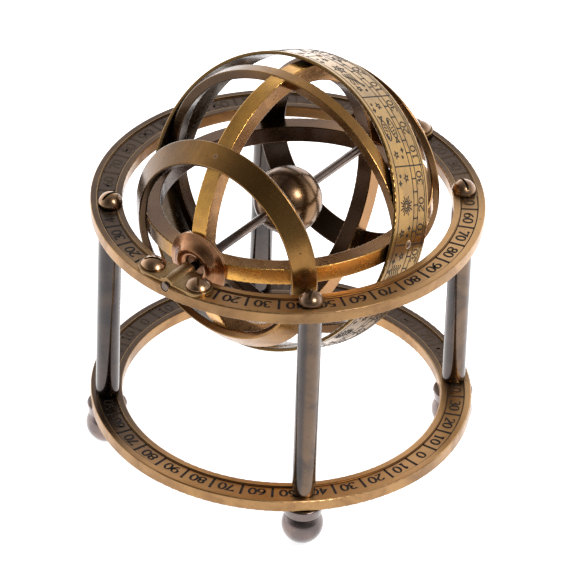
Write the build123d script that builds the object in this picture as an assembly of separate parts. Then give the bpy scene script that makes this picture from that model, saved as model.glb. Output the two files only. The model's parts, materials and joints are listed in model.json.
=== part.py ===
from build123d import *
import os
from math import cos, hypot, radians, sin, sqrt

# Desktop armillary sphere, millimetres.
# +Z is up and the origin is on the table, in the middle between the four feet.
# The polar axle lies level along Y, its front end towards -Y.

# --- driving dimensions -----------------------------------------------------
HORIZON_OUTER = 60.0        # outer radius of the horizon ring, at the top of the stand
BASE_OUTER = 59.0           # outer radius of the base ring
RING_WIDTH = 9.8            # radial width of both rings
RING_THICKNESS = 4.0
FOOT_HEIGHT = 14.0
PILLAR_LENGTH = 66.5
SPHERE_RADIUS = 44.0        # outer radius of the two colures
CENTRE_DROP = 0.5           # depth of the sphere's centre below the horizon ring's top
REST_TURN = 5.0             # how far the sphere is turned about its axle, in degrees
OBLIQUITY = 23.5            # tilt of the zodiac band to the equator, in degrees

# --- stand ------------------------------------------------------------------
LAND_WIDTH = 2.0            # plain border on either side of the number channel
CHANNEL_DEPTH = 0.5
RING_EDGE = 0.4             # rounding of the ring corners
PILLAR_RADIUS = 3.6
PILLAR_CIRCLE = 53.9
PILLAR_EDGE = 0.3
THREAD_RADIUS = 2.0         # M4 stud and screw
CLEAR_HOLE_RADIUS = 2.15
THREAD_DEPTH = 9.0
THREAD_ENGAGEMENT = 8.0
FOOT_BALL_RADIUS = 6.4
FOOT_FLAT_RADIUS = 1.8      # small flat that the ball rests on
FOOT_COLLAR_RADIUS = 6.3    # collar under the base ring, tapering downwards
FOOT_COLLAR_LOWER = 5.7
FOOT_COLLAR_HEIGHT = 3.6
FOOT_NECK_RADIUS = 4.4
FOOT_EDGE = 0.5

BASE_BOTTOM = FOOT_HEIGHT
BASE_TOP = BASE_BOTTOM + RING_THICKNESS
HORIZON_BOTTOM = BASE_TOP + PILLAR_LENGTH
HORIZON_TOP = HORIZON_BOTTOM + RING_THICKNESS
CENTRE_HEIGHT = HORIZON_TOP - CENTRE_DROP

# --- slotted screws ---------------------------------------------------------
HEAD_RADIUS = 3.75
DOME_HEIGHT = 2.9           # tall domes over the pillars
LOW_DOME_HEIGHT = 1.9       # low domes on the straps
HEAD_CYLINDER = 0.5
SLOT_WIDTH = 0.9
SLOT_SHARE = 0.42           # slot depth as a share of the head height
STRAP_THREAD_RADIUS = 1.75
STRAP_HOLE_RADIUS = 1.9
SCREW_END = 1.0             # how far the strap screws show under the ring

# --- axle, straps and cup washers ------------------------------------------
AXLE_RADIUS = 1.45
BEARING_CLEARANCE = 0.05
AXLE_HALF = HORIZON_OUTER - 0.2
STRAP_THICKNESS = 1.2
STRAP_WIDTH = 9.0
STRAP_SCREW_SPACING = 17.0
STRAP_MIDDLE = HORIZON_OUTER - 0.9 - STRAP_WIDTH / 2
BRIDGE_WALL = 1.2
BRIDGE_INNER_END = 48.4
STRAP_EDGE = 0.3
CUP_RADIUS = 10.2
CUP_HEIGHT = 2.7            # from the colures to the top of the rounded boss

# --- sphere -----------------------------------------------------------------
COLURE_WIDTH = 5.4
COLURE_DEPTH = 5.5
COLURE_EDGE = 0.35
EQUATOR_OUTER = SPHERE_RADIUS + 0.3
EQUATOR_DEPTH = 3.0
EQUATOR_WIDTH = 4.2
PARALLEL_LATITUDE = 46.0    # where the two flat parallel rings sit
PARALLEL_DISTANCE = 46.0    # from the sphere's centre to their outer face
PARALLEL_WIDTH = 7.8
PARALLEL_THICKNESS = 2.4
ZODIAC_INNER = EQUATOR_OUTER + 0.15
ZODIAC_THICKNESS = 1.1
ZODIAC_WIDTH = 17.4
FIT_GAP = 0.02              # between pieces that are fixed together
RIVET_RADIUS = 0.9
RIVET_HEAD_RADIUS = 1.4
RIVET_HEAD_HEIGHT = 0.4
RIVET_DEPTH = 2.4           # how far a rivet enters the ring under the band
SPACER_RADIUS = 1.8
PIN_RADIUS = 0.7
PIN_LENGTH = 4.6
EARTH_RADIUS = 10.5

FRONT, BACK = -1, 1
CENTRE = Pos(0, 0, CENTRE_HEIGHT)
SPHERE_FRAME = CENTRE * Rot(0, -REST_TURN, 0)
CORNERS = {                 # direction of each pillar from the middle, in degrees
    "front_right": -45,
    "back_right": 45,
    "back_left": 135,
    "front_left": -137.5,
}
SLOT_TURNS = {              # where each screw's slot came to rest when it was tightened
    "front_right": 157,
    "back_right": -73,
    "back_left": 20,
    "front_left": 33,
    "left": 30,
    "right": 127,
}
HANDS = {"left": -1, "right": 1}


# --- helpers ----------------------------------------------------------------
def drilled(radius, bottom, top):
    """A round bar along Z between two heights, to add as a shank or cut as a hole."""
    return Pos(0, 0, (bottom + top) / 2) * Cylinder(radius, top - bottom)


def flat_ring(outer, inner, width):
    """A square-edged ring about Z, centred on the XY plane."""
    return Cylinder(outer, width) - Cylinder(inner, width + 2)


def soft_ring(outer, inner, width, edge):
    """A ring about Z with its four long edges rounded."""
    ring = flat_ring(outer, inner, width)
    return fillet(ring.edges().filter_by(GeomType.CIRCLE), edge)


def dome(radius, height):
    """A spherical cap with its flat face on the XY plane."""
    ball_radius = (radius ** 2 + height ** 2) / (2 * height)
    ball = Pos(0, 0, height - ball_radius) * Sphere(ball_radius)
    return ball & (Pos(0, 0, height / 2) * Cylinder(radius, height))


def slotted_screw(dome_height, thread_radius, length):
    """A domed, slotted screw pointing down, the seat of its head on the XY plane."""
    head = drilled(HEAD_RADIUS, 0, HEAD_CYLINDER)
    head += Pos(0, 0, HEAD_CYLINDER) * dome(HEAD_RADIUS, dome_height)
    top = HEAD_CYLINDER + dome_height
    slot_depth = SLOT_SHARE * top
    slot = Pos(0, 0, top - slot_depth / 2) * Box(3 * HEAD_RADIUS, SLOT_WIDTH, slot_depth)
    return head - slot + drilled(thread_radius, -length, 0)


def at_corner(angle, height):
    """The place on the pillar circle at one corner of the stand."""
    return Pos(0, 0, height) * Rot(0, 0, angle) * Pos(PILLAR_CIRCLE, 0, 0)


def strap_frame(side):
    """Ring-top plane under the middle of a strap, its Y pointing outwards."""
    turn = 180 if side == FRONT else 0
    return Pos(0, 0, HORIZON_TOP) * Rot(0, 0, turn) * Pos(0, STRAP_MIDDLE, 0)


def pole_frame(side):
    """Sphere centre with Z pointing out of the pole on one side."""
    return SPHERE_FRAME * Rot(-90 * side, 0, 0)


# --- stand pieces -----------------------------------------------------------
def numbered_ring(outer):
    """The flat ring with its sunk number channel and four clearance holes."""
    inner = outer - RING_WIDTH
    ring = soft_ring(outer, inner, RING_THICKNESS, RING_EDGE)
    ring = Pos(0, 0, RING_THICKNESS / 2) * ring
    channel = flat_ring(outer - LAND_WIDTH, inner + LAND_WIDTH, CHANNEL_DEPTH)
    ring -= Pos(0, 0, RING_THICKNESS - CHANNEL_DEPTH / 2) * channel
    for angle in CORNERS.values():
        ring -= at_corner(angle, 0) * drilled(CLEAR_HOLE_RADIUS, -1, RING_THICKNESS + 1)
    return ring


def base_ring():
    return Pos(0, 0, BASE_BOTTOM) * numbered_ring(BASE_OUTER)


def horizon_ring():
    """The upper ring, with a slot that the axle drops into and holes for the strap screws."""
    ring = Pos(0, 0, HORIZON_BOTTOM) * numbered_ring(HORIZON_OUTER)
    slot_radius = AXLE_RADIUS + BEARING_CLEARANCE
    slot_length = 2 * HORIZON_OUTER + 2
    ring -= CENTRE * Rot(90, 0, 0) * Cylinder(slot_radius, slot_length)
    ring -= CENTRE * Pos(0, 0, CENTRE_DROP) * Box(2 * slot_radius, slot_length, 2 * CENTRE_DROP)
    for side in (FRONT, BACK):
        for offset in (-STRAP_SCREW_SPACING / 2, STRAP_SCREW_SPACING / 2):
            hole = drilled(STRAP_THREAD_RADIUS, -RING_THICKNESS - 1, 1)
            ring -= strap_frame(side) * Pos(offset, 0, 0) * hole
    return ring


def pillar(angle):
    rod = drilled(PILLAR_RADIUS, 0, PILLAR_LENGTH)
    rod = chamfer(rod.edges().filter_by(GeomType.CIRCLE), PILLAR_EDGE)
    rod -= drilled(THREAD_RADIUS, -1, THREAD_DEPTH)
    rod -= drilled(THREAD_RADIUS, PILLAR_LENGTH - THREAD_DEPTH, PILLAR_LENGTH + 1)
    return at_corner(angle, BASE_TOP) * rod


def foot(angle):
    """A ball foot with a collar, and a stud that holds the pillar on the base ring."""
    ball_centre = sqrt(FOOT_BALL_RADIUS ** 2 - FOOT_FLAT_RADIUS ** 2)
    ball = Pos(0, 0, ball_centre) * Sphere(FOOT_BALL_RADIUS)
    ball &= drilled(2 * FOOT_BALL_RADIUS, 0, FOOT_HEIGHT)
    collar_middle = FOOT_HEIGHT - FOOT_COLLAR_HEIGHT / 2
    collar = Cone(FOOT_COLLAR_LOWER, FOOT_COLLAR_RADIUS, FOOT_COLLAR_HEIGHT)
    collar = fillet(collar.edges().filter_by(GeomType.CIRCLE), FOOT_EDGE)
    collar = Pos(0, 0, collar_middle) * collar
    neck = drilled(FOOT_NECK_RADIUS, ball_centre, collar_middle)
    stud = drilled(THREAD_RADIUS, ball_centre, BASE_TOP + THREAD_ENGAGEMENT)
    return at_corner(angle, 0) * (ball + neck + collar + stud)


def ring_screw(angle, slot_turn):
    screw = slotted_screw(DOME_HEIGHT, THREAD_RADIUS, RING_THICKNESS + THREAD_ENGAGEMENT)
    return at_corner(angle, HORIZON_TOP) * Rot(0, 0, slot_turn) * screw


def strap(side):
    """The bearing strap: a flat plate with a half-round bridge over the axle."""
    length = STRAP_SCREW_SPACING + STRAP_WIDTH
    plate = extrude(SlotOverall(length, STRAP_WIDTH), STRAP_THICKNESS)
    plate = fillet(plate.edges().group_by(Axis.Z)[-1], STRAP_EDGE)
    tunnel_radius = AXLE_RADIUS + BEARING_CLEARANCE
    bridge_length = STRAP_MIDDLE + STRAP_WIDTH / 2 - BRIDGE_INNER_END
    bridge_middle = (STRAP_WIDTH - bridge_length) / 2
    bridge = Rot(90, 0, 0) * Cylinder(tunnel_radius + BRIDGE_WALL, bridge_length)
    bridge = Pos(0, bridge_middle, -CENTRE_DROP) * bridge
    above = Pos(0, 0, STRAP_WIDTH) * Box(4 * STRAP_WIDTH, 4 * STRAP_WIDTH, 2 * STRAP_WIDTH)
    plate += bridge & above
    plate -= Pos(0, 0, -CENTRE_DROP) * Rot(90, 0, 0) * Cylinder(tunnel_radius, 4 * STRAP_WIDTH)
    for offset in (-STRAP_SCREW_SPACING / 2, STRAP_SCREW_SPACING / 2):
        plate -= Pos(offset, 0, 0) * drilled(STRAP_HOLE_RADIUS, -1, STRAP_THICKNESS + 1)
    return strap_frame(side) * plate


def strap_screw(side, hand):
    length = STRAP_THICKNESS + RING_THICKNESS + SCREW_END
    screw = slotted_screw(LOW_DOME_HEIGHT, STRAP_THREAD_RADIUS, length)
    offset = side * HANDS[hand] * STRAP_SCREW_SPACING / 2
    seat = Pos(offset, 0, STRAP_THICKNESS)
    return strap_frame(side) * seat * Rot(0, 0, SLOT_TURNS[hand]) * screw


# --- sphere pieces ----------------------------------------------------------
def equator_bar(width, gap=0.0):
    """The equator's material about its own axis, enlarged by a gap for cutting."""
    inner = EQUATOR_OUTER - EQUATOR_DEPTH - gap
    return flat_ring(EQUATOR_OUTER + gap, inner, width + 2 * gap)


def parallel_bar(gap=0.0, edge=0.0):
    """One conical parallel ring about Z, at its own latitude above the XY plane."""
    latitude = radians(PARALLEL_LATITUDE)
    middle = PARALLEL_DISTANCE - PARALLEL_THICKNESS / 2
    section = Rectangle(PARALLEL_THICKNESS + 2 * gap, PARALLEL_WIDTH + 2 * gap)
    if edge:
        section = fillet(section.vertices(), edge)
    place = Pos(middle * cos(latitude), middle * sin(latitude)) * Rot(0, 0, PARALLEL_LATITUDE)
    return revolve(Plane.XZ * place * section, Axis.Z)


def colure_bar():
    """One colure about Z with every notch for the rings that lie across it."""
    ring = soft_ring(SPHERE_RADIUS, SPHERE_RADIUS - COLURE_DEPTH, COLURE_WIDTH, COLURE_EDGE)
    ring -= Rot(90, 0, 0) * equator_bar(EQUATOR_WIDTH, FIT_GAP)
    for side in (FRONT, BACK):
        ring -= Rot(-90 * side, 0, 0) * parallel_bar(FIT_GAP)
    ring -= Rot(90, 0, 0) * Cylinder(AXLE_RADIUS, 2 * HORIZON_OUTER)
    return ring


def pole_notch(inner, outer):
    """The block that one colure gives up to the other at both poles."""
    block = Box(COLURE_WIDTH + 2 * FIT_GAP, outer - inner, 2 * COLURE_WIDTH)
    middle = (inner + outer) / 2
    return Pos(0, middle, 0) * block + Pos(0, -middle, 0) * block


HALF_DEPTH_RADIUS = SPHERE_RADIUS - COLURE_DEPTH / 2


def colure_horizontal():
    ring = colure_bar() - pole_notch(HALF_DEPTH_RADIUS - FIT_GAP, SPHERE_RADIUS + 1)
    return drill_rivets(SPHERE_FRAME * ring)


def colure_vertical():
    inner = SPHERE_RADIUS - COLURE_DEPTH - 1
    ring = colure_bar() - pole_notch(inner, HALF_DEPTH_RADIUS)
    return drill_rivets(SPHERE_FRAME * Rot(0, 90, 0) * ring)


def equator_ring():
    ring = soft_ring(EQUATOR_OUTER, EQUATOR_OUTER - EQUATOR_DEPTH, EQUATOR_WIDTH, COLURE_EDGE)
    return drill_rivets(SPHERE_FRAME * Rot(90, 0, 0) * ring)


def pin_places(side):
    """Where the flush pins of one parallel ring enter the four colure arms."""
    for turn in (0, 90, 180, 270):
        outward = Rot(0, 90 - PARALLEL_LATITUDE, 0) * Pos(0, 0, PARALLEL_DISTANCE)
        yield pole_frame(side) * Rot(0, 0, turn) * outward


def parallel_ring(side):
    ring = pole_frame(side) * parallel_bar(edge=0.55)
    for place in pin_places(side):
        ring -= place * drilled(PIN_RADIUS, -PIN_LENGTH, 1)
    return ring


def parallel_pins(side):
    return [place * drilled(PIN_RADIUS, -PIN_LENGTH, 0) for place in pin_places(side)]


def zodiac_frame():
    """Sphere centre with Z along the pole of the ecliptic."""
    return SPHERE_FRAME * Rot(90 - OBLIQUITY, 0, 0)


def rivet_places():
    """Each rivet's place, and the radius of the ring that it enters."""
    for turn in (0, 90, 180, 270):
        crosses_equator = turn in (0, 180)
        ring_radius = EQUATOR_OUTER if crosses_equator else SPHERE_RADIUS
        yield zodiac_frame() * Rot(0, 0, turn) * Rot(0, 90, 0), ring_radius


def drill_rivets(solid):
    for place, ring_radius in rivet_places():
        solid -= place * drilled(RIVET_RADIUS, ring_radius - RIVET_DEPTH, SPHERE_RADIUS + 5)
    for side in (FRONT, BACK):
        for place in pin_places(side):
            solid -= place * drilled(PIN_RADIUS, -PIN_LENGTH, 1)
    return solid


def zodiac_band():
    band = flat_ring(ZODIAC_INNER + ZODIAC_THICKNESS, ZODIAC_INNER, ZODIAC_WIDTH)
    band = fillet(band.edges().filter_by(GeomType.CIRCLE), COLURE_EDGE)
    return drill_rivets(zodiac_frame() * band)


def zodiac_rivets():
    outer = ZODIAC_INNER + ZODIAC_THICKNESS
    head = Pos(0, 0, outer) * dome(RIVET_HEAD_RADIUS, RIVET_HEAD_HEIGHT)
    rivets = []
    for place, ring_radius in rivet_places():
        shank = drilled(RIVET_RADIUS, ring_radius - RIVET_DEPTH, outer)
        rivets.append(place * (shank + head))
    return rivets


def zodiac_spacers():
    """Thin washers that fill the gap between the band and the vertical colure."""
    top = ZODIAC_INNER - 0.05
    spacers = []
    for place, ring_radius in rivet_places():
        if ring_radius == SPHERE_RADIUS:
            washer = drilled(SPACER_RADIUS, ring_radius, top)
            spacers.append(place * (washer - drilled(RIVET_RADIUS, 0, 2 * ring_radius)))
    return spacers


def earth_ball():
    ball = Sphere(EARTH_RADIUS) - Cylinder(AXLE_RADIUS, 3 * EARTH_RADIUS)
    return pole_frame(BACK) * ball


def axle_rod():
    rod = Cylinder(AXLE_RADIUS, 2 * AXLE_HALF)
    rod = chamfer(rod.edges().filter_by(GeomType.CIRCLE), 0.25)
    return pole_frame(BACK) * rod


def cup_washer(side):
    """A spun collar at the pole: a wide flange that rises to a rounded boss."""
    underside = hypot(SPHERE_RADIUS, COLURE_WIDTH / 2) + FIT_GAP
    rim_height = sqrt(underside ** 2 - CUP_RADIUS ** 2)
    middle = CUP_RADIUS / 2
    seat = ThreePointArc(
        (AXLE_RADIUS, sqrt(underside ** 2 - AXLE_RADIUS ** 2)),
        (middle, sqrt(underside ** 2 - middle ** 2)),
        (CUP_RADIUS, rim_height),
    )
    flange_edge = Line(seat @ 1, (CUP_RADIUS, rim_height + 0.9))
    boss_top = underside + CUP_HEIGHT
    flange = Spline(
        flange_edge @ 1, (7.4, boss_top - 1.6), (5.2, boss_top),
        tangents=[(-1, 0.35), (-1, 0.0)],
    )
    mouth = Spline(flange @ 1, (3.7, boss_top - 0.7), (3.1, boss_top - 2.0),
                   tangents=[(-1, 0.0), (0.0, -1)])
    floor = Line(mouth @ 1, (AXLE_RADIUS, boss_top - 2.0))
    bore = Line(floor @ 1, seat @ 0)
    profile = make_face(Curve() + [seat, flange_edge, flange, mouth, floor, bore])
    return pole_frame(side) * revolve(Plane.XZ * profile, Axis.Z)


# --- the assembly -----------------------------------------------------------
def all_nodes():
    nodes = {"base_ring": base_ring(), "horizon_ring": horizon_ring()}
    for corner, angle in CORNERS.items():
        nodes[f"pillar_{corner}"] = pillar(angle)
        nodes[f"foot_{corner}"] = foot(angle)
        nodes[f"ring_screw_{corner}"] = ring_screw(angle, SLOT_TURNS[corner])
    for name, side in (("front", FRONT), ("back", BACK)):
        nodes[f"strap_{name}"] = strap(side)
        for hand in HANDS:
            nodes[f"strap_screw_{name}_{hand}"] = strap_screw(side, hand)
        nodes[f"parallel_ring_{name}"] = parallel_ring(side)
        nodes[f"parallel_pins_{name}"] = Compound(parallel_pins(side))
        nodes[f"cup_washer_{name}"] = cup_washer(side)
    nodes["equator_ring"] = equator_ring()
    nodes["colure_vertical"] = colure_vertical()
    nodes["colure_horizontal"] = colure_horizontal()
    nodes["zodiac_band"] = zodiac_band()
    nodes["zodiac_rivets"] = Compound(zodiac_rivets())
    nodes["zodiac_spacers"] = Compound(zodiac_spacers())
    nodes["earth_ball"] = earth_ball()
    nodes["axle_rod"] = axle_rod()
    return nodes


os.makedirs("parts", exist_ok=True)
for node_name, solid in all_nodes().items():
    export_step(solid, f"parts/{node_name}.step")
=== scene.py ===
import json
import math

import bmesh
import bpy
from mathutils import Matrix, Vector

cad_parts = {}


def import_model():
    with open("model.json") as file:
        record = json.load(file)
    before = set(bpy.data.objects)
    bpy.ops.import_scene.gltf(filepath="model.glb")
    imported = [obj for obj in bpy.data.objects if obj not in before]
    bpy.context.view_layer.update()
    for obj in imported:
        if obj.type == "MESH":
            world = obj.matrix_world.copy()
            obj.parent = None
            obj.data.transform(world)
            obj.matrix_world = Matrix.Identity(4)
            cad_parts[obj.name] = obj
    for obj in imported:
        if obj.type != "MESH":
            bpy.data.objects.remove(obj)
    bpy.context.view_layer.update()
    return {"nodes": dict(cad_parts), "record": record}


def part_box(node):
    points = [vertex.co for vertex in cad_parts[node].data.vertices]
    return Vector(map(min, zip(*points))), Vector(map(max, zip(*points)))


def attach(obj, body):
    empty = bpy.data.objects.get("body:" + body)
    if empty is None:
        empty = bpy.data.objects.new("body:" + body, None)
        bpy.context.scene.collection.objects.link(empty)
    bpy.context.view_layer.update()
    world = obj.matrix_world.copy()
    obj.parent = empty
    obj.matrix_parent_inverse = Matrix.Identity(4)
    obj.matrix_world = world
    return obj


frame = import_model()

# Looks for the armillary sphere: antique brass on the CAD pieces, and the blackened
# numbers, scale lines and zodiac figures that are cut into the rings.

MM = 0.001

# --- places taken from the frame ---------------------------------------------
BASE_LOW, BASE_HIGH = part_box("base_ring")
HORIZON_LOW, HORIZON_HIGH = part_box("horizon_ring")
AXLE_LOW, AXLE_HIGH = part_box("axle_rod")
CENTRE = Vector((0, 0, (AXLE_LOW.z + AXLE_HIGH.z) / 2))

# --- shapes of the CAD pieces that the engraving follows ----------------------
RING_WIDTH = 9.8 * MM
LAND_WIDTH = 2.0 * MM           # plain border on either side of the number channel
CHANNEL_DEPTH = 0.5 * MM
REST_TURN = math.radians(5.0)   # how far the sphere is turned about its axle
OBLIQUITY = math.radians(23.5)  # tilt of the zodiac band to the equator
ZODIAC_FRAME = (
    Matrix.Translation(CENTRE)
    @ Matrix.Rotation(-REST_TURN, 4, "Y")
    @ Matrix.Rotation(math.radians(90) - OBLIQUITY, 4, "X")
)


def zodiac_size():
    """Outer radius and half the width of the zodiac band, measured about its own axis."""
    to_band = ZODIAC_FRAME.inverted()
    corners = [to_band @ v.co for v in frame["nodes"]["zodiac_band"].data.vertices]
    return max(c.xy.length for c in corners), max(c.z for c in corners)


ZODIAC_RADIUS, ZODIAC_HALF_WIDTH = zodiac_size()


# --- strokes: flat drawings as lists of points --------------------------------
def arc(x, y, radius_x, radius_y, start, end, steps=10):
    """Points along part of an ellipse, between two angles in degrees."""
    points = []
    for i in range(steps + 1):
        angle = math.radians(start + (end - start) * i / steps)
        points.append((x + radius_x * math.cos(angle), y + radius_y * math.sin(angle)))
    return points


def circle(x, y, radius, steps=16):
    return arc(x, y, radius, radius, 0, 360, steps)


def spoke(x, y, inner, outer, angle):
    """A short line that points away from a middle."""
    turn = math.radians(angle)
    ray = Vector((math.cos(turn), math.sin(turn)))
    middle = Vector((x, y))
    return [tuple(middle + ray * inner), tuple(middle + ray * outer)]


def star(x, y, radius, tips, waist=0.42):
    """The outline of a star with its first tip upwards."""
    points = []
    for i in range(2 * tips + 1):
        reach = radius if i % 2 == 0 else radius * waist
        angle = math.radians(90 + 180 * i / tips)
        points.append((x + reach * math.cos(angle), y + reach * math.sin(angle)))
    return points


def wave(x0, x1, y, height, waves, steps=24):
    points = []
    for i in range(steps + 1):
        share = i / steps
        rise = height * math.sin(2 * math.pi * waves * share)
        points.append((x0 + (x1 - x0) * share, y + rise))
    return points


DIGIT_WIDTH = 0.6       # of a digit drawn one unit tall
DIGIT_GAP = 0.14
DIGIT_STRETCH = 1.25    # the digits are cut a little wider than they are drawn
SIX_BOWL = arc(0.3, 0.3, 0.28, 0.3, 0, 360, 16)
SIX_STEM = arc(0.56, 0.34, 0.54, 0.62, 98, 182, 8)
DIGITS = {
    "0": [arc(0.3, 0.5, 0.28, 0.5, 0, 360, 20)],
    "1": [[(0.3, 0), (0.3, 1)], [(0.1, 0.8), (0.3, 1)], [(0.12, 0), (0.48, 0)]],
    "2": [arc(0.3, 0.72, 0.26, 0.28, 165, -35, 12) + [(0.02, 0), (0.58, 0.03)]],
    "3": [arc(0.27, 0.76, 0.24, 0.24, 150, -85, 10), arc(0.27, 0.27, 0.3, 0.27, 85, -150, 12)],
    "4": [[(0.44, 0), (0.44, 1), (0.02, 0.3), (0.6, 0.3)]],
    "5": [[(0.52, 1), (0.14, 1), (0.11, 0.56)], arc(0.25, 0.32, 0.31, 0.32, 118, -150, 12)],
    "6": [SIX_BOWL, SIX_STEM],
    "7": [[(0.03, 0.84), (0.04, 1), (0.58, 1), (0.2, 0)]],
    "8": [arc(0.3, 0.75, 0.22, 0.25, 0, 360, 14), arc(0.3, 0.26, 0.28, 0.26, 0, 360, 16)],
    "9": [[(0.6 - x, 1 - y) for x, y in points] for points in (SIX_BOWL, SIX_STEM)],
}


# Generic sky figures, one for each twelfth of the band. Each is drawn about (0, 0)
# with a height of about 1, and lies along the band.
def sun():
    rays = [spoke(0, 0, 0.24, 0.46 if i % 2 else 0.36, 22.5 * i) for i in range(16)]
    return [circle(0, 0, 0.2), circle(0, 0, 0.11)] + rays


def moon():
    outer = arc(0.05, 0, 0.42, 0.46, 60, 300, 18)
    inner = arc(0.2, 0, 0.34, 0.4, 285, 75, 14)
    return [outer + inner, star(0.42, 0.12, 0.16, 5), circle(0.38, -0.28, 0.05, 8)]


def great_star():
    rays = [spoke(0, 0, 0.3, 0.48, 22.5 + 45 * i) for i in range(8)]
    return [star(0, 0, 0.48, 8, 0.4), circle(0, 0, 0.1)] + rays


def comet():
    tails = [wave(-0.15, -0.95, 0.13 * i, 0.05, 1 + 0.25 * i) for i in (-2, -1, 0, 1, 2)]
    return [star(0.25, 0, 0.34, 6, 0.5), circle(0.25, 0, 0.09, 10)] + tails


def ringed_planet():
    bands = [arc(0, y, 0.29, 0.06, 200, 340, 8) for y in (-0.12, 0.02, 0.16)]
    hoop = [(0.62 * math.cos(a) - 0.1 * math.sin(a), 0.22 * math.cos(a) + 0.14 * math.sin(a))
            for a in (math.radians(15 * i) for i in range(25))]
    return [circle(0, 0, 0.32, 20), hoop, star(-0.6, 0.3, 0.12, 4)] + bands


def waves():
    lines = [wave(-0.8, 0.8, 0.15 * i, 0.055, 4) for i in (-2, -1, 0, 1, 2)]
    return lines + [circle(0.5, 0.42, 0.06, 8)]


def two_fish():
    shapes = []
    for y, way in ((0.25, 1), (-0.25, -1)):
        back = [(way * x, y + h) for x, h in arc(-0.05, 0, 0.5, 0.19, 180, 0, 12)]
        belly = [(way * x, y - h) for x, h in arc(-0.05, 0, 0.5, 0.19, 0, 180, 12)]
        tail = [(way * 0.44, y), (way * 0.68, y + 0.15), (way * 0.6, y), (way * 0.68, y - 0.15),
                (way * 0.44, y)]
        gill = [(way * (-0.3 + 0.05 * i), y + 0.12 - 0.06 * abs(i)) for i in (-2, -1, 0, 1, 2)]
        scales = [[(way * x, y - 0.08), (way * (x + 0.07), y + 0.08)] for x in (-0.1, 0.05, 0.2)]
        shapes += [back, belly, tail, gill, circle(way * -0.42, y + 0.05, 0.03, 6)] + scales
    return shapes


def bow_and_arrow():
    bow = arc(-0.25, 0, 0.5, 0.46, -75, 75, 14)
    string = [bow[0], (-0.45, 0), bow[-1]]
    shaft = [(-0.75, 0), (0.68, 0)]
    head = [(0.5, 0.13), (0.72, 0), (0.5, -0.13), (0.5, 0.13)]
    feathers = [[(-0.75 + x, 0.13 * side), (-0.62 + x, 0)] for x in (0, 0.1, 0.2) for side in (1, -1)]
    return [bow, string, shaft, head] + feathers


def amphora():
    side = [(0.12, 0.44), (0.1, 0.3), (0.3, 0.12), (0.26, -0.12), (0.1, -0.36), (0.16, -0.46)]
    left = [(-x, y) for x, y in side]
    rings = [[(-0.28, 0.08), (0.28, 0.08)], [(-0.26, -0.06), (0.26, -0.06)]]
    handles = [arc(0.16 * way, 0.26, 0.2 * way, 0.12, 110, -60, 8) for way in (1, -1)]
    pour = [wave(0.35, 0.85, y, 0.04, 2, 12) for y in (-0.3, -0.16, -0.02)]
    ends = [[side[0], left[0]], [side[-1], left[-1]]]
    return [side, left] + rings + handles + pour + ends


def wheat_ear():
    stem = [(-0.8, -0.1), (-0.4, -0.02), (0.1, 0), (0.75, 0.04)]
    grains = []
    for i in range(6):
        x = 0.02 + 0.13 * i
        for way in (1, -1):
            grains.append([(x, 0), (x + 0.04, 0.16 * way), (x + 0.16, 0.2 * way), (x + 0.13, 0.05 * way),
                           (x, 0)])
    leaf = [(-0.55, -0.05), (-0.35, 0.22), (-0.05, 0.34), (-0.2, 0.12), (-0.45, -0.03)]
    low_leaf = [(-0.5, -0.05), (-0.35, -0.3), (-0.02, -0.36), (-0.2, -0.14), (-0.4, -0.03)]
    return [stem, leaf, low_leaf] + grains


def mountains():
    ridge = [(-0.85, -0.36), (-0.5, 0.18), (-0.3, -0.06), (0.02, 0.42), (0.36, -0.1), (0.52, 0.1),
             (0.85, -0.36), (-0.85, -0.36)]
    shade = [[(0.02 + 0.09 * i, 0.3 - 0.14 * i), (-0.06 + 0.07 * i, -0.3)] for i in range(5)]
    return [ridge, circle(-0.62, 0.34, 0.08, 10)] + shade


def compass_rose():
    rays = [spoke(0, 0, 0.0, 0.42, 45 * i) for i in range(8)]
    return [circle(0, 0, 0.46, 24), circle(0, 0, 0.38, 24), star(0, 0, 0.44, 4, 0.3)] + rays


def small_stars():
    """Stars and dots that fill the ends of each twelfth, beside its figure."""
    return [star(-1.22, 0.2, 0.17, 5), star(1.22, -0.16, 0.17, 5), star(1.0, 0.34, 0.1, 4),
            star(-1.02, -0.32, 0.1, 4), circle(1.32, 0.28, 0.05, 8), circle(-1.34, -0.22, 0.05, 8)]


FIGURES = [sun, two_fish, comet, amphora, moon, wheat_ear, compass_rose, bow_and_arrow, ringed_planet,
           mountains, great_star, waves]


# --- strokes as thin solid ribbons on a surface -------------------------------
PROUD = 0.035 * MM      # how far the blackened fill stands above the metal
BURIED = 0.09 * MM      # how far it reaches down into it
LONGEST_STEP = 1.1 * MM
SHARPEST_MITRE = 0.55


def subdivided(points):
    """The same line with no step longer than the surface's curve allows."""
    fine = [points[0]]
    for start, end in zip(points, points[1:]):
        steps = max(1, math.ceil((end - start).length / LONGEST_STEP))
        fine += [start.lerp(end, i / steps) for i in range(1, steps + 1)]
    return fine


def without_repeats(points):
    kept = [points[0]]
    for point in points[1:]:
        if (point - kept[-1]).length > 0.01 * MM:
            kept.append(point)
    return kept


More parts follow.
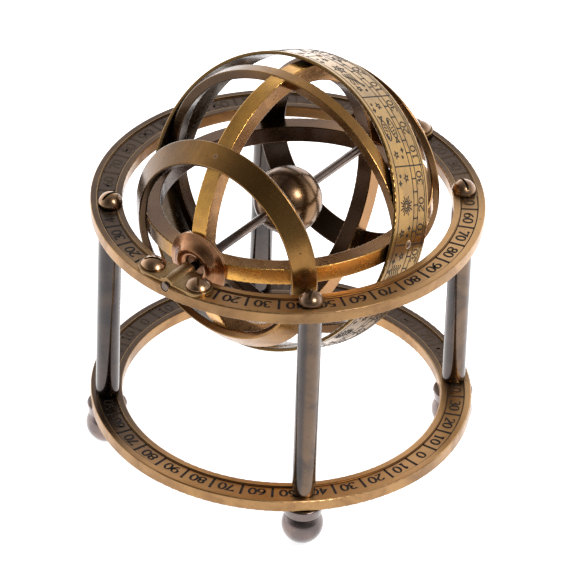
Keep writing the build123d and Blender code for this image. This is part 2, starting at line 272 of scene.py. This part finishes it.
class Engraving:
    """Collects strokes as thin closed ribbons and turns them into one mesh."""

    def __init__(self):
        self.mesh = bmesh.new()

    def stroke(self, points, pen, place):
        """Adds one line. pen is (thin, thick), the breadths across a level and an upright
        run, and place maps (along, across, height) to a point in the frame."""
        line = without_repeats(subdivided([Vector(p) for p in points]))
        closed = len(line) > 3 and (line[0] - line[-1]).length < 0.02 * MM
        if closed:
            line = line[:-1]
        runs = [(line[(i + 1) % len(line)] - p).normalized() for i, p in enumerate(line)]
        if not closed:
            runs[-1] = runs[-2]
        rows = []
        for i, point in enumerate(line):
            before = runs[i - 1] if closed or i else runs[0]
            after = runs[i]
            run = before + after
            run = run.normalized() if run.length > SHARPEST_MITRE else after
            breadth = pen[0] + (pen[1] - pen[0]) * abs(run.y)
            mitre = max(SHARPEST_MITRE, run.dot(after))
            side = Vector((-run.y, run.x)) * breadth / (2 * mitre)
            left, right = point + side, point - side
            corners = ((left, PROUD), (right, PROUD), (right, -BURIED), (left, -BURIED))
            rows.append([self.mesh.verts.new(place(p.x, p.y, height)) for p, height in corners])
        pairs = list(zip(rows, rows[1:]))
        if closed:
            pairs.append((rows[-1], rows[0]))
        else:
            self.mesh.faces.new(rows[0])
            self.mesh.faces.new(rows[-1])
        for one, two in pairs:
            for k in range(4):
                after = (k + 1) % 4
                self.mesh.faces.new((one[k], one[after], two[after], two[k]))

    def number(self, text, height, pen, place, middle):
        """Writes digits centred on a flat point, their tops towards +across."""
        width = DIGIT_STRETCH * height
        advance = (DIGIT_WIDTH + DIGIT_GAP) * width
        start = middle[0] - advance * (len(text) - 1) / 2 - DIGIT_WIDTH * width / 2
        for i, digit in enumerate(text):
            left = start + i * advance
            for points in DIGITS[digit]:
                moved = [(left + x * width, middle[1] + (y - 0.5) * height) for x, y in points]
                self.stroke(moved, pen, place)

    def finish(self, name, body, material):
        bmesh.ops.recalc_face_normals(self.mesh, faces=self.mesh.faces)
        data = bpy.data.meshes.new(name)
        self.mesh.to_mesh(data)
        self.mesh.free()
        data.materials.append(material)
        piece = bpy.data.objects.new(name, data)
        bpy.context.scene.collection.objects.link(piece)
        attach(piece, body)
        return piece


# --- number rings -------------------------------------------------------------
CELL = 10                                   # degrees from one number to the next
DIGIT_HEIGHT = 2.9 * MM
NUMBER_PEN = (0.34 * MM, 0.78 * MM)
BORDER_PEN = (0.34 * MM, 0.34 * MM)
BAR_PEN = (0.8 * MM, 0.8 * MM)
BORDER_INSET = 0.36 * MM
SCREW_BREAK = 2.6                           # degrees left free beside each pillar screw
AXLE_BREAK = 2.2                            # degrees left free beside the axle slot
STRAP_REACH = 12                            # degrees of the ring that a strap hides
DIAGONAL = 45                               # where a pillar screw takes a cell bar's place


def ring_place(outer, top):
    """Maps flat coordinates to the number channel: along runs clockwise from +X, in metres
    at the channel's middle, and across runs outwards."""
    middle = outer - RING_WIDTH / 2

    def place(along, across, height):
        angle = -along / middle
        radius = middle + across
        return Vector((radius * math.cos(angle), radius * math.sin(angle), top + height))

    return place


def ring_scale(ring_low, ring_high, value_at, hidden, breaks):
    """The border lines, cell bars and numbers of one ring."""
    outer = ring_high.x
    middle = outer - RING_WIDTH / 2
    place = ring_place(outer, ring_high.z - CHANNEL_DEPTH)
    half_track = RING_WIDTH / 2 - LAND_WIDTH - BORDER_INSET
    degree = middle * math.radians(1)
    lines = Engraving()
    numbers = Engraving()
    stops = sorted(breaks)
    for (start, clear), (end, clear_end) in zip(stops, stops[1:] + [(stops[0][0] + 360, stops[0][1])]):
        for across in (-half_track, half_track):
            ends = [((start + clear) * degree, across), ((end - clear_end) * degree, across)]
            lines.stroke(ends, BORDER_PEN, place)
    for turn in range(0, 360, CELL):
        bar_turn = turn + CELL / 2
        if not hidden(bar_turn) and bar_turn % 90 != DIAGONAL:
            bar = [(bar_turn * degree, -half_track), (bar_turn * degree, half_track)]
            lines.stroke(bar, BAR_PEN, place)
        if not hidden(turn):
            numbers.number(str(value_at(turn)), DIGIT_HEIGHT, NUMBER_PEN, place, (turn * degree, 0))
    return lines, numbers


def from_side(turn):
    """Degrees from the nearer end of the X axis, 0 to 90."""
    return abs((turn + 90) % 180 - 90)


def from_end(turn):
    """Degrees from the nearer end of the Y axis, where the axle runs."""
    return 90 - from_side(turn)


def under_strap(turn):
    return from_end(turn) < STRAP_REACH


def screw_stops():
    """Where the pillars and their screws interrupt the scales."""
    stops = []
    for name in frame["nodes"]:
        if name.startswith("pillar_"):
            low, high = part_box(name)
            stops.append((math.degrees(math.atan2(-low.y - high.y, low.x + high.x)) % 360, SCREW_BREAK))
    return stops


SCREW_STOPS = screw_stops()
AXLE_STOPS = [(turn, AXLE_BREAK) for turn in (90, 270)]


# --- zodiac band --------------------------------------------------------------
SIGN = 30                                   # degrees of the band for each figure
FINE_PEN = (0.32 * MM, 0.4 * MM)
LINE_PEN = (0.26 * MM, 0.26 * MM)
DIVIDER_PEN = (0.4 * MM, 0.4 * MM)
LETTER_PEN = (0.24 * MM, 0.42 * MM)
FIGURE_HEIGHT = 6.8 * MM
SMALL_DIGIT = 2.5 * MM
NEAR_LINE, FAR_LINE = 0.1, 0.93             # shares of the width from the band's front edge
LADDER = (0.55, 0.67)
INNER_FAR_LINE = 0.88
FIGURE_MIDDLE = 0.32
DEGREE_MIDDLE = 0.775
TICK_SERIF = 0.55 * MM


def band_place(along, across, height):
    """Maps flat coordinates to the outside of the zodiac band."""
    angle = along / ZODIAC_RADIUS
    radius = ZODIAC_RADIUS + height
    return ZODIAC_FRAME @ Vector((radius * math.cos(angle), radius * math.sin(angle), across))


def across_band(share):
    return ZODIAC_HALF_WIDTH * (1 - 2 * share)


def zodiac_engraving():
    """Lines, ticks, degree numbers and sky figures around the whole band."""
    degree = ZODIAC_RADIUS * math.radians(1)
    work = Engraving()
    for share in (NEAR_LINE, *LADDER, INNER_FAR_LINE, FAR_LINE):
        around = [(turn * degree, across_band(share)) for turn in range(0, 361, 2)]
        work.stroke(around, LINE_PEN, band_place)
    for i, figure in enumerate(FIGURES):
        start = i * SIGN
        divider = [(start * degree, across_band(NEAR_LINE)), (start * degree, across_band(FAR_LINE))]
        work.stroke(divider, DIVIDER_PEN, band_place)
        middle = (start + SIGN / 2) * degree
        height = across_band(FIGURE_MIDDLE)
        for points in figure() + small_stars():
            moved = [(middle + x * FIGURE_HEIGHT, height + y * FIGURE_HEIGHT) for x, y in points]
            work.stroke(moved, FINE_PEN, band_place)
        for turn in range(start + 5, start + SIGN, 5):
            upper, lower = across_band(LADDER[0]), across_band(LADDER[1])
            tick = [(turn * degree, upper), (turn * degree, lower)]
            work.stroke(tick, DIVIDER_PEN, band_place)
            for end in (upper, lower):
                serif = [(turn * degree - TICK_SERIF, end), (turn * degree + TICK_SERIF, end)]
                work.stroke(serif, DIVIDER_PEN, band_place)
        for turn in range(CELL, SIGN + 1, CELL):
            place_of_number = ((start + turn - CELL / 2) * degree, across_band(DEGREE_MIDDLE))
            work.number(str(turn), SMALL_DIGIT, LETTER_PEN, band_place, place_of_number)
    return work


# --- materials ----------------------------------------------------------------
def smooth_range(tree, low, high, to_low, to_high):
    """A node that maps a range of values smoothly to another, and holds it at both ends."""
    node = tree.nodes.new("ShaderNodeMapRange")
    node.interpolation_type = "SMOOTHSTEP"
    limits = {"From Min": low, "From Max": high, "To Min": to_low, "To Max": to_high}
    for name, number in limits.items():
        node.inputs[name].default_value = number
    return node


class Nodes:
    """Short calls for building one material's node tree in object coordinates."""

    def __init__(self, name):
        self.material = bpy.data.materials.new(name)
        self.material.use_nodes = True
        self.tree = self.material.node_tree
        self.shader = self.tree.nodes["Principled BSDF"]
        texture = self.add("ShaderNodeTexCoord")
        self.coords = texture.outputs["Object"]
        self.normal = texture.outputs["Normal"]

    def add(self, kind):
        return self.tree.nodes.new(kind)

    def feed(self, socket, value):
        """Links an output, or sets a plain value, on one input."""
        if isinstance(value, bpy.types.NodeSocket):
            self.tree.links.new(value, socket)
        else:
            socket.default_value = value

    def noise(self, size, detail=3.0, roughness=0.55, stretch=(1, 1, 1), warp=0.0, shift=0.0):
        """Noise whose features are about size metres across."""
        place = self.add("ShaderNodeMapping")
        place.inputs["Scale"].default_value = stretch
        place.inputs["Location"].default_value = (shift, shift * 0.7, shift * 1.3)
        self.feed(place.inputs["Vector"], self.coords)
        noise = self.add("ShaderNodeTexNoise")
        self.feed(noise.inputs["Vector"], place.outputs[0])
        noise.inputs["Scale"].default_value = 1 / size
        noise.inputs["Detail"].default_value = detail
        noise.inputs["Roughness"].default_value = roughness
        noise.inputs["Distortion"].default_value = warp
        return noise.outputs["Fac"]

    def span(self, value, low, high, to_low=0.0, to_high=1.0):
        node = smooth_range(self.tree, low, high, to_low, to_high)
        self.feed(node.inputs["Value"], value)
        return node.outputs["Result"]

    def maths(self, operation, first, second):
        node = self.add("ShaderNodeMath")
        node.operation = operation
        node.use_clamp = True
        self.feed(node.inputs[0], first)
        self.feed(node.inputs[1], second)
        return node.outputs[0]

    def dot(self, first, second):
        node = self.add("ShaderNodeVectorMath")
        node.operation = "DOT_PRODUCT"
        self.feed(node.inputs[0], first)
        self.feed(node.inputs[1], second)
        return node.outputs["Value"]

    def mix(self, share, first, second):
        node = self.add("ShaderNodeMix")
        node.data_type = "RGBA"
        sockets = [s for s in node.inputs if s.enabled]
        for socket, value in zip(sockets, (share, first, second)):
            self.feed(socket, value if isinstance(value, (float, bpy.types.NodeSocket)) else (*value, 1))
        return next(s for s in node.outputs if s.enabled)

    def edges(self, radius):
        """1 along worn corners and 0 on open faces."""
        bevel = self.add("ShaderNodeBevel")
        bevel.samples = 6
        bevel.inputs["Radius"].default_value = radius
        normal = self.add("ShaderNodeNewGeometry").outputs["Normal"]
        return self.span(self.dot(bevel.outputs[0], normal), 0.995, 0.86)

    def recess(self, reach):
        """1 deep in corners and in gaps beside nearby pieces, by ambient occlusion, and 0 on open faces.
        """
        occlusion = self.add("ShaderNodeAmbientOcclusion")
        occlusion.samples = 6
        occlusion.inputs["Distance"].default_value = reach
        return self.span(occlusion.outputs["AO"], 0.78, 0.3)

    def outward(self):
        """1 on faces that look away from the sphere's centre, -1 on those that look at it."""
        away = self.add("ShaderNodeVectorMath")
        away.operation = "SUBTRACT"
        self.feed(away.inputs[0], self.coords)
        away.inputs[1].default_value = CENTRE
        ray = self.add("ShaderNodeVectorMath")
        ray.operation = "NORMALIZE"
        self.feed(ray.inputs[0], away.outputs[0])
        return self.dot(ray.outputs[0], self.normal)

    def along(self, vector, side, start, end):
        """Rises from 0 to 1 as a vector reaches further towards one side."""
        return self.span(self.dot(vector, side), start, end)

    def facing_up(self):
        return self.along(self.normal, (0, 0, 1), 0.8, 0.95)

    def at_height(self, height):
        """1 on level faces at one height, 0 elsewhere."""
        up = (0, 0, 1)
        below = self.along(self.coords, up, height + 0.3 * MM, height + 0.1 * MM)
        above = self.along(self.coords, up, height - 0.3 * MM, height - 0.1 * MM)
        return self.maths("MULTIPLY", self.maths("MULTIPLY", below, above), self.facing_up())

    def bump(self, heights):
        """Adds up (height, distance) pairs as one bump normal."""
        normal = None
        for height, distance in heights:
            node = self.add("ShaderNodeBump")
            node.inputs["Distance"].default_value = distance
            self.feed(node.inputs["Height"], height)
            if normal:
                self.feed(node.inputs["Normal"], normal)
            normal = node.outputs["Normal"]
        self.feed(self.shader.inputs["Normal"], normal)


RUBBED = (0.95, 0.62, 0.26)         # bare brass along rubbed corners
BLOTCH_SIZE = 11 * MM               # patina that comes and goes over a piece
CLOUD_SIZE = 34 * MM
GRAIN_SIZE = 1.1 * MM
SPECK_SIZE = 0.9 * MM
STREAK_SIZE = 0.5 * MM
SCRATCH_SIZE = 0.35 * MM
RIPPLE_SIZE = 5 * MM                # slow unevenness of a cast and filed surface
CORNER_DARK_REACH = 2.6 * MM              # how far the darkening reaches out of a corner
RUB_REACH = 0.45 * MM               # how far a corner is rubbed bare

LIT_SIDE = (0.86, -0.51, 0.0)   # the side of the stand painted lighter, as if lit, with painted shade on the other
RING_LIT = (LIT_SIDE, -14 * MM, 40 * MM)            # where that starts and is full
# the sphere's pieces are painted lighter towards +X and in painted shade away from it
SPHERE_LIT = ((1.0, 0.0, 0.0), -26 * MM, 6 * MM)


class Brass(Nodes):
    """A brass material's nodes, with the marks of age and the painted light and shade that its colour and
    shine follow.
    """

    def __init__(self, name, shift, wear, corner_darkening):
        super().__init__(name)
        self.shift = shift
        self.blotch = self.span(self.noise(BLOTCH_SIZE, 4, 0.6, warp=0.6, shift=shift), 0.3, 0.66)
        self.cloud = self.span(self.noise(CLOUD_SIZE, 3, 0.5, shift=shift + 3), 0.45, 0.75)
        self.grain = self.noise(GRAIN_SIZE, 5, 0.7, shift=shift)
        self.speck = self.span(self.noise(SPECK_SIZE, 2, 0.5, shift=shift + 7), 0.68, 0.78)
        # darker in corners and beside nearby pieces, from ambient occlusion
        self.grimy = self.maths("MULTIPLY", self.recess(CORNER_DARK_REACH), corner_darkening)
        bare = self.span(self.grain, 0.3, 0.6, 0.7 * wear, wear)
        self.rubbed = self.maths("MULTIPLY", self.edges(RUB_REACH), bare)

    def patchy(self, least):
        return self.span(self.blotch, 0.0, 1.0, least, 1.0)

    def metal(self, polished, body, tarnish, lit_outside_shaded_inside):
        """Blotches of polished and dull metal under clouds and grains of tarnish."""
        # painted light and shade: faces that look out from the sphere's centre are painted polished in
        # patches, those that look in are painted dark with tarnish
        if lit_outside_shaded_inside:
            outward = self.outward()
            shiny = self.maths("MULTIPLY", self.span(outward, 0.3, 0.8), self.patchy(0.45))
            hollow = self.maths("MULTIPLY", self.span(outward, -0.3, -0.8), 0.85)
            colour = self.mix(hollow, self.mix(shiny, body, polished), tarnish)
        else:
            colour = self.mix(self.blotch, body, polished)
        colour = self.mix(self.maths("MULTIPLY", self.cloud, 0.4), colour, tarnish)
        return self.mix(self.span(self.grain, 0.5, 0.8, 0.0, 0.28), colour, tarnish)

    def handled(self, colour, polished, tarnish, dim=0.0, glint=1.0, painted_light=SPHERE_LIT,
                stripe=None, channel=None):
        """Paints light on one side and shade on the other. dim is how dark the painted shade on the
        far side is and glint how much brighter the painted highlight on the lit tops is. stripe is
        the colour painted on a rod's lit side, and channel the height of a track that stays dark
        with tarnish, more so on the far side as painted shade."""
        near = self.along(self.coords, *painted_light)
        # painted highlight: level tops on the lit side are brightened towards polished metal times glint
        if glint != 1.0:
            top = self.maths("MULTIPLY", self.facing_up(), self.maths("MULTIPLY", near, 0.85))
            colour = self.mix(top, colour, tuple(c * glint for c in polished))
        # painted light: faces of a rod that look towards the lit side take the stripe colour
        if stripe:
            side = self.maths("MULTIPLY", self.along(self.normal, LIT_SIDE, 0.7, 0.95), near)
            colour = self.mix(self.maths("MULTIPLY", side, self.patchy(0.4)), colour, stripe)
        # painted shade, deepening towards the far side
        dimmed = self.span(near, 0.0, 1.0, dim, 0.0)
        # the track keeps its tarnish, made heavier on the far side as painted shade; on the rings the
        # painted shade above falls only on level tops
        if channel is not None:
            dimmed = self.maths("MULTIPLY", dimmed, self.facing_up())
            kept = self.span(near, 0.0, 1.0, 0.6, 0.05)
            sunk = self.maths("MULTIPLY", self.at_height(channel), kept)
            colour = self.mix(sunk, colour, tarnish)
        return self.mix(dimmed, colour, tarnish)

    def surface(self, shine, coat, coat_ior):
        """Roughness, fine scratches and a thin coat of lacquer."""
        streak = self.noise(STREAK_SIZE, 3, 0.6, stretch=(1, 0.12, 1), shift=self.shift + 1)
        lines = self.noise(SCRATCH_SIZE, 2, 0.5, (0.06, 1, 0.4), 0.8, self.shift + 5)
        ripple = self.noise(RIPPLE_SIZE, 2, 0.5, shift=self.shift + 9)
        rough = self.span(self.blotch, 0.0, 1.0, shine + 0.1, shine)
        rough = self.maths("ADD", rough, self.span(streak, 0.45, 0.75, 0.0, 0.07))
        for mark in (self.speck, self.grimy):
            rough = self.maths("ADD", rough, self.maths("MULTIPLY", mark, 0.2))
        self.feed(self.shader.inputs["Roughness"], rough)
        self.shader.inputs["Metallic"].default_value = 1.0
        self.shader.inputs["Coat Weight"].default_value = coat
        self.shader.inputs["Coat Roughness"].default_value = 0.1
        self.shader.inputs["Coat IOR"].default_value = coat_ior
        scratch = self.span(lines, 0.63, 0.72)
        self.bump([(self.grain, 0.008 * MM), (ripple, 0.04 * MM), (scratch, -0.006 * MM)])


def antique_brass(name, polished, body, tarnish, shine=0.2, wear=0.85, shift=0.0, coat=0.3, coat_ior=1.5,
                  corner_darkening=0.9, lit_outside_shaded_inside=False, **painted_light):
    """Antiqued, lacquered brass: blotches of patina, dark specks and corners, rubbed edges.
    lit_outside_shaded_inside paints faces that look out from the sphere's centre polished and those
    that look in dark, as painted light and shade, and painted_light is passed to Brass.handled."""
    brass = Brass(name, shift, wear, corner_darkening)
    black = tuple(c * 0.25 for c in tarnish)
    bare = tuple((c + r) / 2 for c, r in zip(polished, RUBBED))
    colour = brass.metal(polished, body, tarnish, lit_outside_shaded_inside)
    # paints light on the lit side and shade on the far side
    colour = brass.handled(colour, polished, tarnish, **painted_light)
    colour = brass.mix(brass.maths("MULTIPLY", brass.speck, 0.75), colour, black)
    # darkens corners and gaps beside nearby pieces towards black
    colour = brass.mix(brass.grimy, colour, black)
    colour = brass.mix(brass.rubbed, colour, bare)
    brass.feed(brass.shader.inputs["Base Color"], colour)
    brass.surface(shine, coat, coat_ior)
    return brass.material


FADED_SIDE = ((0.6, -0.8, 0.0), 26 * MM, -14 * MM)     # away from the front
FILL_PATCH = 1.6 * MM
FILL_GRAIN = 0.4 * MM
FILL_BLACK = (0.012, 0.008, 0.006)
FILL_RUBBED = (0.10, 0.055, 0.025)


def engraving_fill(name, fading):
    """The blackened patina left in the cut lines, rubbed thin here and there. fading is how
    far it has gone on the side away from the front."""
    nodes = Nodes(name)
    thin = nodes.span(nodes.noise(FILL_PATCH, 4, 0.7), 0.5, 0.78)
    faded = nodes.along(nodes.coords, *FADED_SIDE)
    thin = nodes.maths("MAXIMUM", thin, nodes.maths("MULTIPLY", faded, fading))
    grain = nodes.noise(FILL_GRAIN, 3, 0.6)
    colour = nodes.mix(thin, FILL_BLACK, FILL_RUBBED)
    nodes.feed(nodes.shader.inputs["Base Color"], colour)
    nodes.shader.inputs["Metallic"].default_value = 0.4
    nodes.feed(nodes.shader.inputs["Roughness"], nodes.span(grain, 0.3, 0.7, 0.5, 0.8))
    nodes.bump([(grain, 0.02 * MM)])
    return nodes.material


GOLD = {"polished": (0.40, 0.20, 0.052), "body": (0.22, 0.11, 0.04), "tarnish": (0.05, 0.03, 0.018)}
OLIVE = {"polished": (0.33, 0.185, 0.046), "body": (0.21, 0.115, 0.034), "tarnish": (0.07, 0.042, 0.018)}
WARM = {"polished": (0.46, 0.26, 0.105), "body": (0.31, 0.165, 0.068), "tarnish": (0.05, 0.028, 0.018)}
BROWN = {"polished": (0.95, 0.50, 0.11), "body": (0.44, 0.22, 0.08), "tarnish": (0.055, 0.028, 0.018)}
COPPER = {"polished": (0.46, 0.21, 0.09), "body": (0.17, 0.075, 0.036), "tarnish": (0.045, 0.02, 0.014)}
DARK = {"polished": (0.055, 0.034, 0.025), "body": (0.018, 0.012, 0.011), "tarnish": (0.018, 0.013, 0.014)}
FOOT = {"polished": (0.27, 0.185, 0.16), "body": (0.11, 0.08, 0.075), "tarnish": (0.03, 0.022, 0.022)}
BALL = {"polished": (0.30, 0.165, 0.075), "body": (0.11, 0.06, 0.034), "tarnish": (0.035, 0.022, 0.018)}
SCREW = {"polished": (0.48, 0.275, 0.14), "body": (0.17, 0.095, 0.055), "tarnish": (0.035, 0.022, 0.018)}
STRAP = {"polished": (0.42, 0.25, 0.095), "body": (0.21, 0.12, 0.05), "tarnish": (0.05, 0.032, 0.02)}
STEEL = {"polished": (0.24, 0.17, 0.13), "body": (0.10, 0.07, 0.06), "tarnish": (0.04, 0.035, 0.04)}
# colour painted on the lit side of the dark rods
ROD_LIT_STRIPE = (0.15, 0.085, 0.042)
# roughness, corner darkening, painted highlight on lit tops and the painted lit side of both number rings
RING_FINISH_AND_LIGHT = {"shine": 0.3, "corner_darkening": 0.3, "glint": 1.6, "painted_light": RING_LIT}
# dim sets how dark the painted shade on the far side is, glint the painted highlight on lit tops
FINISHES = {
    "gold_brass": antique_brass("gold_brass", **GOLD, coat=0.2, dim=0.8, lit_outside_shaded_inside=True),
    "brown_brass": antique_brass("brown_brass", **BROWN, shine=0.2, shift=23, coat=0.15, dim=0.85,
                                 lit_outside_shaded_inside=True),
    "dark_brass": antique_brass("dark_brass", **DARK, shine=0.16, wear=0.5, shift=31, coat=1.0,
                                coat_ior=1.6, stripe=ROD_LIT_STRIPE),
    "screw_brass": antique_brass("screw_brass", **SCREW, shine=0.24, wear=0.5, shift=43, coat=0.6),
    "axle_steel": antique_brass("axle_steel", **STEEL, shine=0.24, wear=0.3, shift=57, coat=0.6),
}
OWN_FINISHES = {
    "zodiac_band": antique_brass("zodiac_brass", **OLIVE, shine=0.22, shift=5, lit_outside_shaded_inside=True),
    "earth_ball": antique_brass("earth_ball_brass", **BALL, shine=0.23, shift=61, dim=0.3),
    "base_ring": antique_brass("base_ring_brass", **WARM, **RING_FINISH_AND_LIGHT, shift=71, dim=0.85,
                               channel=BASE_HIGH.z - CHANNEL_DEPTH),
    "horizon_ring": antique_brass("horizon_ring_brass", **WARM, **RING_FINISH_AND_LIGHT, shift=83, dim=0.8,
                                  channel=HORIZON_HIGH.z - CHANNEL_DEPTH),
}
foot_finish = antique_brass("foot_brass", **FOOT, shine=0.18, wear=0.5, shift=37, coat=1.0, coat_ior=1.6)
cup_finish = antique_brass("cup_copper", **COPPER, shine=0.22, shift=97)
strap_finish = antique_brass("strap_brass", **STRAP, shine=0.25, shift=101)
OWN_FINISHES.update({name: foot_finish for name in frame["nodes"] if name.startswith("foot_")})
for side in ("front", "back"):
    OWN_FINISHES[f"cup_washer_{side}"] = cup_finish
    OWN_FINISHES[f"strap_{side}"] = strap_finish


# --- dress the frame ----------------------------------------------------------
def dress_cad_nodes():
    """Gives each CAD piece its own finish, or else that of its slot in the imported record."""
    for part in frame["record"]["subparts"]:
        node = frame["nodes"][part["node"]]
        node.data.materials.clear()
        finish = OWN_FINISHES.get(part["node"]) or FINISHES[part["material_slot"]]
        node.data.materials.append(finish)


def engrave():
    fill = engraving_fill("ring_engraving_fill", fading=0.75)
    lines, numbers = ring_scale(BASE_LOW, BASE_HIGH, from_side, lambda turn: False, SCREW_STOPS)
    lines.finish("base_scale_lines", "stand", fill)
    numbers.finish("base_numbers", "stand", fill)
    stops = SCREW_STOPS + AXLE_STOPS
    lines, numbers = ring_scale(HORIZON_LOW, HORIZON_HIGH, from_end, under_strap, stops)
    lines.finish("horizon_scale_lines", "stand", fill)
    numbers.finish("horizon_numbers", "stand", fill)
    zodiac_fill = engraving_fill("zodiac_engraving_fill", fading=0.0)
    zodiac_engraving().finish("zodiac_engraving", "sphere", zodiac_fill)


# --- floor, light and camera --------------------------------------------------
CAMERA_AZIMUTH = 36.57
CAMERA_ELEVATION = 35.35
CAMERA_ROLL = 2.08
CAMERA_DISTANCE = 1.9334
CAMERA_LENS = 394.8
CAMERA_SENSOR = 36
CAMERA_CLIP = (0.05, 40)
AIM_SIDE = 0.98 * MM
AIM_HEIGHT = 55.2 * MM

FLOOR_RADIUS = 8.0
FLOOR_DROP = 0.2 * MM               # how far the floor lies below the feet
FLOOR_COLOUR = (0.6, 0.6, 0.6)
FLOOR_GLOW = (0.99, 0.985, 1.0)
FLOOR_RISE = (-0.25, 0.35)          # metres behind the object over which the floor brightens
FLOOR_FRONT = 0.55                  # its glow on the viewer's side
BACK_GLOW = 1.9                     # glow of the floor and the sweep behind the object
HORIZON_GLOW = (0.93, 0.96, 1.0)
UPPER_GLOW = (0.20, 0.19, 0.185)
SWEEP_TOP = 12                      # elevation, in degrees, up to which the sweep is white
ROOM_TOP = 50                       # elevation from which it is dark overhead
SWEEP_RISE = (-0.7, 0.6)            # cosines away from the viewer over which it brightens
ROOM_SHARE = 0.2                    # how bright the viewer's side is beside the sweep
KEY_AZIMUTH = 85
KEY_ELEVATION = 47
KEY_DISTANCE = 1.1
KEY_SIZE = 0.42
KEY_RADIANCE = 15.0


def direction(azimuth, elevation):
    """Unit vector towards a compass direction, 0 at the front (-Y) and 90 at the right (+X)."""
    az, el = math.radians(azimuth), math.radians(elevation)
    return Vector((math.sin(az) * math.cos(el), -math.cos(az) * math.cos(el), math.sin(el)))


def brighter_behind(tree, coords, start, end, near, far):
    """A strength that rises smoothly from the viewer's side to the side behind the object."""
    behind = tree.nodes.new("ShaderNodeVectorMath")
    behind.operation = "DOT_PRODUCT"
    tree.links.new(coords, behind.inputs[0])
    behind.inputs[1].default_value = direction(CAMERA_AZIMUTH + 180, 0)
    rise = smooth_range(tree, start, end, near, far)
    tree.links.new(behind.outputs["Value"], rise.inputs["Value"])
    return rise.outputs["Result"]


def floor():
    """A wide pale disc under the feet, lit so evenly that it leaves no edge."""
    data = bpy.data.meshes.new("floor")
    disc = bmesh.new()
    bmesh.ops.create_circle(disc, cap_ends=True, segments=96, radius=FLOOR_RADIUS)
    disc.to_mesh(data)
    disc.free()
    material = bpy.data.materials.new("pale_floor")
    material.use_nodes = True
    shader = material.node_tree.nodes["Principled BSDF"]
    shader.inputs["Base Color"].default_value = (*FLOOR_COLOUR, 1)
    shader.inputs["Roughness"].default_value = 0.9
    shader.inputs["Emission Color"].default_value = (*FLOOR_GLOW, 1)
    tree = material.node_tree
    coords = tree.nodes.new("ShaderNodeTexCoord").outputs["Object"]
    glow = brighter_behind(tree, coords, *FLOOR_RISE, FLOOR_FRONT, BACK_GLOW)
    tree.links.new(glow, shader.inputs["Emission Strength"])
    data.materials.append(material)
    piece = bpy.data.objects.new("floor", data)
    bpy.context.scene.collection.objects.link(piece)
    piece.location.z = -FLOOR_DROP


def world():
    """A white sweep behind the object, darker overhead and on the viewer's side, so that
    polished metal has something to reflect. The camera itself sees plain white."""
    sky = bpy.data.worlds.new("studio")
    bpy.context.scene.world = sky
    sky.use_nodes = True
    tree = sky.node_tree
    coords = tree.nodes.new("ShaderNodeTexCoord").outputs["Generated"]
    split = tree.nodes.new("ShaderNodeSeparateXYZ")
    tree.links.new(coords, split.inputs[0])
    ramp = tree.nodes.new("ShaderNodeValToRGB")
    tree.links.new(split.outputs["Z"], ramp.inputs[0])
    stops = ramp.color_ramp.elements
    for stop, (elevation, colour) in zip(stops, ((SWEEP_TOP, HORIZON_GLOW), (ROOM_TOP, UPPER_GLOW))):
        stop.position = math.sin(math.radians(elevation))
        stop.color = (*colour, 1)
    share = brighter_behind(tree, coords, *SWEEP_RISE, ROOM_SHARE, BACK_GLOW)
    dimmed = tree.nodes.new("ShaderNodeVectorMath")
    dimmed.operation = "SCALE"
    tree.links.new(ramp.outputs[0], dimmed.inputs[0])
    tree.links.new(share, dimmed.inputs["Scale"])
    seen = tree.nodes.new("ShaderNodeLightPath")
    mix = tree.nodes.new("ShaderNodeMix")
    mix.data_type = "RGBA"
    sockets = [s for s in mix.inputs if s.enabled]
    tree.links.new(seen.outputs["Is Camera Ray"], sockets[0])
    tree.links.new(dimmed.outputs[0], sockets[1])
    sockets[2].default_value = (1, 1, 1, 1)
    result = next(s for s in mix.outputs if s.enabled)
    tree.links.new(result, tree.nodes["Background"].inputs["Color"])


def softbox(name, azimuth, elevation, distance, size, radiance):
    """A round area light of one radiance, aimed at the middle of the sphere."""
    light = bpy.data.lights.new(name, "AREA")
    light.shape = "DISK"
    light.size = size
    light.energy = radiance * math.pi * math.pi * size ** 2 / 4
    lamp = bpy.data.objects.new(name, light)
    bpy.context.scene.collection.objects.link(lamp)
    towards = direction(azimuth, elevation)
    lamp.location = CENTRE + towards * distance
    lamp.rotation_euler = towards.to_track_quat("Z", "Y").to_euler()


def camera():
    """A long lens that looks down from the front right, rolled a little."""
    back = direction(CAMERA_AZIMUTH, CAMERA_ELEVATION)
    level = direction(CAMERA_AZIMUTH + 90, 0)
    upright = back.cross(level)
    roll = math.radians(CAMERA_ROLL)
    right = level * math.cos(roll) + upright * math.sin(roll)
    up = upright * math.cos(roll) - level * math.sin(roll)
    data = bpy.data.cameras.new("camera")
    data.lens = CAMERA_LENS
    data.sensor_width = CAMERA_SENSOR
    data.clip_start, data.clip_end = CAMERA_CLIP
    piece = bpy.data.objects.new("camera", data)
    bpy.context.scene.collection.objects.link(piece)
    place = Matrix((right, up, back)).transposed().to_4x4()
    place.translation = Vector((0, 0, AIM_HEIGHT)) + right * AIM_SIDE + back * CAMERA_DISTANCE
    piece.matrix_world = place
    bpy.context.scene.camera = piece


dress_cad_nodes()
engrave()
floor()
world()
softbox("key", KEY_AZIMUTH, KEY_ELEVATION, KEY_DISTANCE, KEY_SIZE, KEY_RADIANCE)
camera()
bpy.context.scene.view_settings.view_transform = "Standard"
